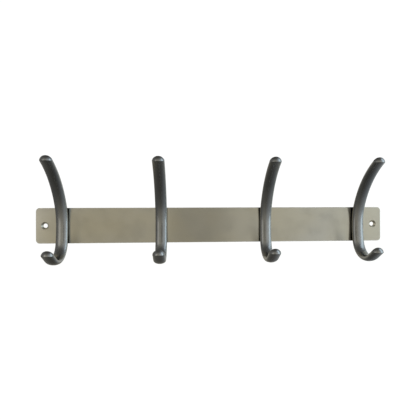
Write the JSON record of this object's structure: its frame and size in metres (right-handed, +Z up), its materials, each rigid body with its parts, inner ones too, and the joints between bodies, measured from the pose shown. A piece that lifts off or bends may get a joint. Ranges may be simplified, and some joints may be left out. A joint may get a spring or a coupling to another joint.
{
  "type": "wall hook rack",
  "caption": "Wall-mounted flat metal bar carrying a row of double coat hooks bent from oval rod, with countersunk screw holes at its ends.",
  "frame": {"origin": "middle of the bar's flat back face, which rests on the wall", "axes": "+Z up, +X to the right as seen from the front, +Y into the wall, so the hooks stand out towards -Y"},
  "size_m": [0.4, 0.0569, 0.1123],
  "materials": {
    "bar_steel": "satin brushed, warm grey",
    "hook_nickel": "satin dark nickel",
    "screw_zinc": "zinc plated"
  },
  "bodies": {
    "root": {"back_bar": "bar_steel", "hook_1": "hook_nickel", "hook_2": "hook_nickel", "hook_3": "hook_nickel", "hook_4": "hook_nickel", "screw_1_upper": "screw_zinc", "screw_1_lower": "screw_zinc", "screw_2_upper": "screw_zinc", "screw_2_lower": "screw_zinc", "screw_3_upper": "screw_zinc", "screw_3_lower": "screw_zinc", "screw_4_upper": "screw_zinc", "screw_4_lower": "screw_zinc"}
  },
  "joints": []
}
